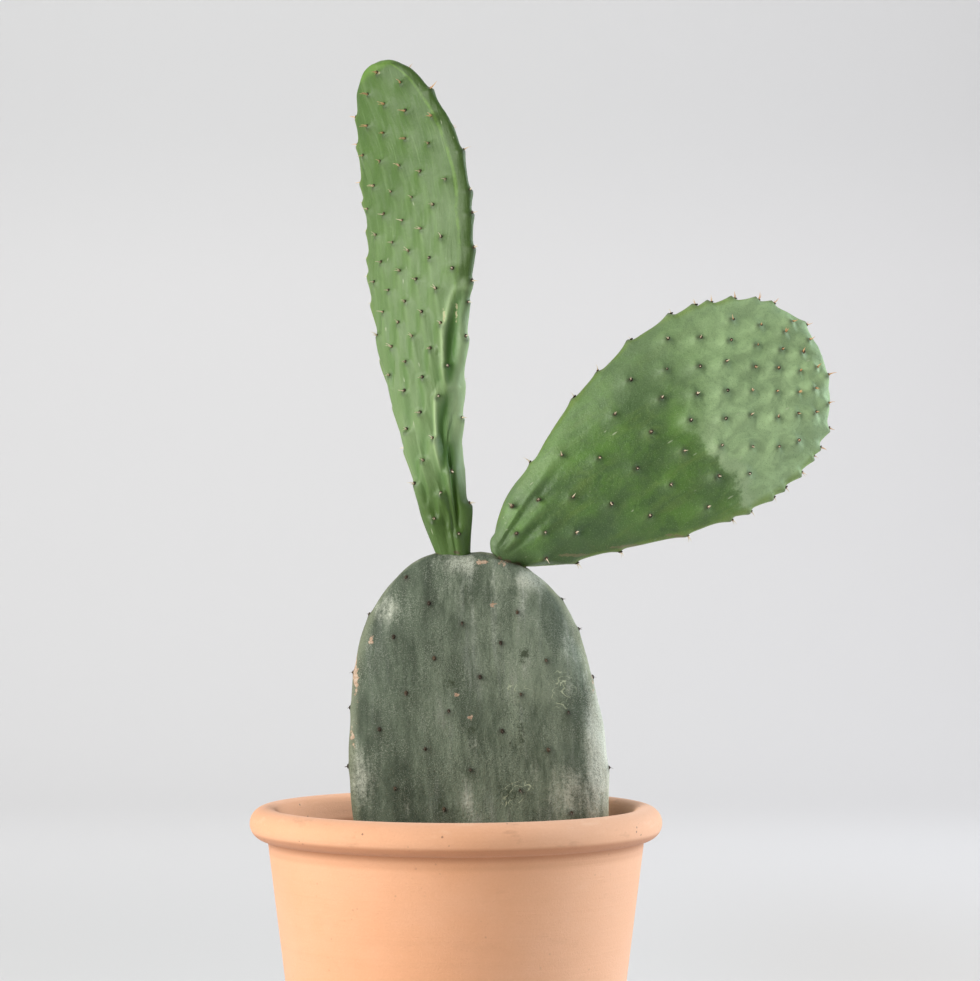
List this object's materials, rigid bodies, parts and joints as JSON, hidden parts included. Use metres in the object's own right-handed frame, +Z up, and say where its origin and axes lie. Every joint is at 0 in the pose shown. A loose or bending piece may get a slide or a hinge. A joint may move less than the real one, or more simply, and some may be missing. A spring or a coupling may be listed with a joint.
{
  "type": "potted paddle cactus",
  "caption": "Paddle cactus with a grey-green old pad, a tall narrow pad and a broad leaning pad, in a round terracotta pot with a rolled rim.",
  "frame": {"origin": "middle of the pot's flat underside, on the pot's own axis", "axes": "+Z up along the pot's axis, -Y towards the pictured front, +X to the side that the broad pad leans to"},
  "size_m": [0.3007, 0.2098, 0.5714],
  "materials": {
    "terracotta": "matte",
    "soil": "matte",
    "old_pad_skin": "matte",
    "tall_pad_skin": "satin",
    "broad_pad_skin": "satin"
  },
  "bodies": {
    "root": {"terracotta_pot": "terracotta", "potting_soil": "soil", "old_base_pad": "old_pad_skin", "tall_pad": "tall_pad_skin", "broad_pad": "broad_pad_skin"}
  },
  "joints": []
}
